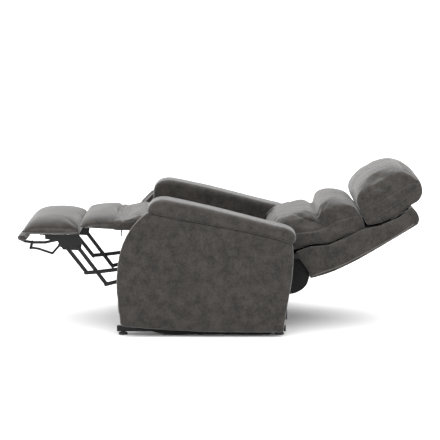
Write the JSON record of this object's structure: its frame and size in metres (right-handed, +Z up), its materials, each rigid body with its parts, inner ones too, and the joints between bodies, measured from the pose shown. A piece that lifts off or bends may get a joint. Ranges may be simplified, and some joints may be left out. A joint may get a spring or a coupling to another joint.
{
  "type": "recliner armchair",
  "caption": "Powered riser recliner armchair with padded arms, split back cushion, head pillow and fold-out footrest, modelled lying fully reclined.",
  "frame": {"origin": "centre of the whole reclined chair's plan box, on the floor", "axes": "+Z up, -Y towards the feet (the front of the chair), +X towards the sitter's left"},
  "size_m": [0.78, 1.8632, 0.7632],
  "materials": {
    "leather": "distressed matt",
    "black_steel": "satin black powder coat",
    "bright_steel": "drawn",
    "timber": "raw plywood",
    "black_cloth": "non-woven dust cloth",
    "black_plastic": "moulded",
    "rubber": "matt",
    "webbing": "woven"
  },
  "bodies": {
    "base": {"left_floor_rail": "black_steel", "right_floor_rail": "black_steel", "front_cross_tube": "black_steel", "rear_cross_tube": "black_steel", "glide_feet": "rubber", "lift_base_brackets": "black_steel", "power_supply_box": "black_plastic"},
    "lift_arm": {"main_lift_links": "black_steel", "lift_torque_tube": "black_steel"},
    "upper_lift_arm": {"upper_lift_links": "black_steel"},
    "lift_actuator": {"lift_motor": "black_plastic", "lift_actuator_tube": "black_steel"},
    "lift_ram": {"lift_rod": "bright_steel"},
    "chair": {"left_arm_outer_panel": "leather", "right_arm_outer_panel": "leather", "left_arm_cap": "leather", "right_arm_cap": "leather", "arm_frames": "timber", "arm_inner_pads": "leather", "side_skirts": "black_cloth", "seat_side_rails": "timber", "seat_front_rail": "timber", "seat_rear_rail": "black_steel", "seat_spring_deck": "webbing", "seat_cushion": "leather", "mechanism_plates": "black_steel", "chair_lift_brackets": "black_steel", "back_pivot_brackets": "black_steel", "recline_cross_tube": "black_steel", "rear_dust_cover": "black_cloth", "control_bezel": "black_plastic"},
    "button_1_body": {"button_1": "black_plastic"},
    "button_2_body": {"button_2": "black_plastic"},
    "button_3_body": {"button_3": "black_plastic"},
    "button_4_body": {"button_4": "black_plastic"},
    "back": {"back_rear_cover": "leather", "back_side_boards": "timber", "back_side_covers": "leather", "back_hinge_arms": "black_steel", "back_cross_rails": "timber", "back_webbing_panel": "webbing", "recline_lug": "black_steel", "back_cushion": "leather", "head_pillow": "leather"},
    "recline_actuator": {"recline_motor": "black_plastic", "recline_actuator_tube": "black_steel"},
    "recline_ram": {"recline_rod": "bright_steel"},
    "footrest_arm": {"upper_footrest_links": "black_steel"},
    "footrest_lower_arm": {"lower_footrest_links": "black_steel"},
    "footrest_rear_strut": {"rear_footrest_bars": "black_steel"},
    "footrest": {"footrest_brackets": "black_steel", "footrest_board": "timber", "footrest_pad": "leather"},
    "footrest_front_strut": {"front_footrest_bars": "black_steel"},
    "calf_rest": {"calf_board": "timber", "calf_pad": "leather"},
    "flipper": {"flipper_cranks": "black_steel", "flipper_strip": "leather"},
    "flipper_drive": {"flipper_links": "black_steel"}
  },
  "joints": [
    {"name": "lift", "type": "hinge", "parent": "base", "child": "lift_arm", "pos_m": [0, -0.26, 0.075], "axis": [1, 0, 0], "range_deg": [0, 50]},
    {"name": "chair_tilt", "type": "hinge", "parent": "lift_arm", "child": "chair", "pos_m": [0, 0.15, 0.095], "axis": [1, 0, 0], "range_deg": [-26, 1]},
    {"name": "upper_lift_arm_pivot", "type": "hinge", "parent": "base", "child": "upper_lift_arm", "pos_m": [0, -0.211, 0.1595], "axis": [1, 0, 0], "range_deg": [-1, 73]},
    {"name": "lift_actuator_pivot", "type": "hinge", "parent": "base", "child": "lift_actuator", "pos_m": [0, 0.255, 0.075], "axis": [1, 0, 0], "range_deg": [-8, 1]},
    {"name": "lift_ram_slide", "type": "slide", "parent": "lift_actuator", "child": "lift_ram", "axis": [0, -0.9918, 0.1281], "range_m": [-0.001, 0.096]},
    {"name": "recline", "type": "hinge", "parent": "chair", "child": "back", "pos_m": [0, 0.255, 0.395], "axis": [1, 0, 0], "range_deg": [0, 50]},
    {"name": "recline_actuator_pivot", "type": "hinge", "parent": "chair", "child": "recline_actuator", "pos_m": [0, -0.15, 0.225], "axis": [1, 0, 0], "range_deg": [-1, 10]},
    {"name": "recline_ram_slide", "type": "slide", "parent": "recline_actuator", "child": "recline_ram", "axis": [0, 0.9923, 0.124], "range_m": [-0.001, 0.078]},
    {"name": "footrest_fold", "type": "hinge", "parent": "chair", "child": "footrest_arm", "pos_m": [0, -0.405, 0.303], "axis": [1, 0, 0], "range_deg": [0, 116]},
    {"name": "rear_strut_pivot", "type": "hinge", "parent": "footrest_arm", "child": "footrest_rear_strut", "pos_m": [0, -0.568, 0.268], "axis": [1, 0, 0], "range_deg": [-130.57, 1]},
    {"name": "footrest_bracket_pivot", "type": "hinge", "parent": "footrest_rear_strut", "child": "footrest", "pos_m": [0, -0.65, 0.378], "axis": [1, 0, 0], "range_deg": [-1, 104.57]},
    {"name": "front_strut_pivot", "type": "hinge", "parent": "footrest", "child": "footrest_front_strut", "pos_m": [0, -0.706, 0.378], "axis": [1, 0, 0], "range_deg": [-93.4, 1]},
    {"name": "lower_arm_pivot", "type": "hinge", "parent": "chair", "child": "footrest_lower_arm", "pos_m": [0, -0.3783, 0.2143], "axis": [1, 0, 0], "range_deg": [-1, 133.41]},
    {"name": "calf_rest_fold", "type": "hinge", "parent": "chair", "child": "calf_rest", "pos_m": [0, -0.45, 0.5], "axis": [1, 0, 0], "range_deg": [-1, 91]},
    {"name": "flipper_fold", "type": "hinge", "parent": "footrest", "child": "flipper", "pos_m": [0, -0.866, 0.404], "axis": [1, 0, 0], "range_deg": [-1, 131]},
    {"name": "flipper_drive_pivot", "type": "hinge", "parent": "flipper", "child": "flipper_drive", "pos_m": [0, -0.874, 0.377], "axis": [1, 0, 0], "range_deg": [-131, 1]},
    {"name": "button_1_press", "type": "slide", "parent": "chair", "child": "button_1_body", "axis": [1, 0, 0], "range_m": [0, 0.0015], "stiffness_N_per_m": 600},
    {"name": "button_2_press", "type": "slide", "parent": "chair", "child": "button_2_body", "axis": [1, 0, 0], "range_m": [0, 0.0015], "stiffness_N_per_m": 600},
    {"name": "button_3_press", "type": "slide", "parent": "chair", "child": "button_3_body", "axis": [1, 0, 0], "range_m": [0, 0.0015], "stiffness_N_per_m": 600},
    {"name": "button_4_press", "type": "slide", "parent": "chair", "child": "button_4_body", "axis": [1, 0, 0], "range_m": [0, 0.0015], "stiffness_N_per_m": 600}
  ],
  "couplings": [
    {"joint": "chair_tilt", "follows": "lift", "ratio": -0.5},
    {"joint": "upper_lift_arm_pivot", "follows": "lift", "ratio": 1.434},
    {"joint": "lift_actuator_pivot", "follows": "lift", "ratio": -0.1458},
    {"joint": "lift_ram_slide", "follows": "lift", "m_per_rad": 0.10863},
    {"joint": "recline_actuator_pivot", "follows": "recline", "ratio": 0.184},
    {"joint": "recline_ram_slide", "follows": "recline", "m_per_rad": 0.087319},
    {"joint": "rear_strut_pivot", "follows": "footrest_fold", "ratio": -1.117},
    {"joint": "footrest_bracket_pivot", "follows": "footrest_fold", "ratio": 0.89284},
    {"joint": "front_strut_pivot", "follows": "footrest_fold", "ratio": -0.79655},
    {"joint": "lower_arm_pivot", "follows": "footrest_fold", "ratio": 1.1415},
    {"joint": "calf_rest_fold", "follows": "footrest_fold", "ratio": 0.77586},
    {"joint": "flipper_fold", "follows": "footrest_fold", "ratio": 1.1207},
    {"joint": "flipper_drive_pivot", "follows": "footrest_fold", "ratio": -1.1207}
  ]
}
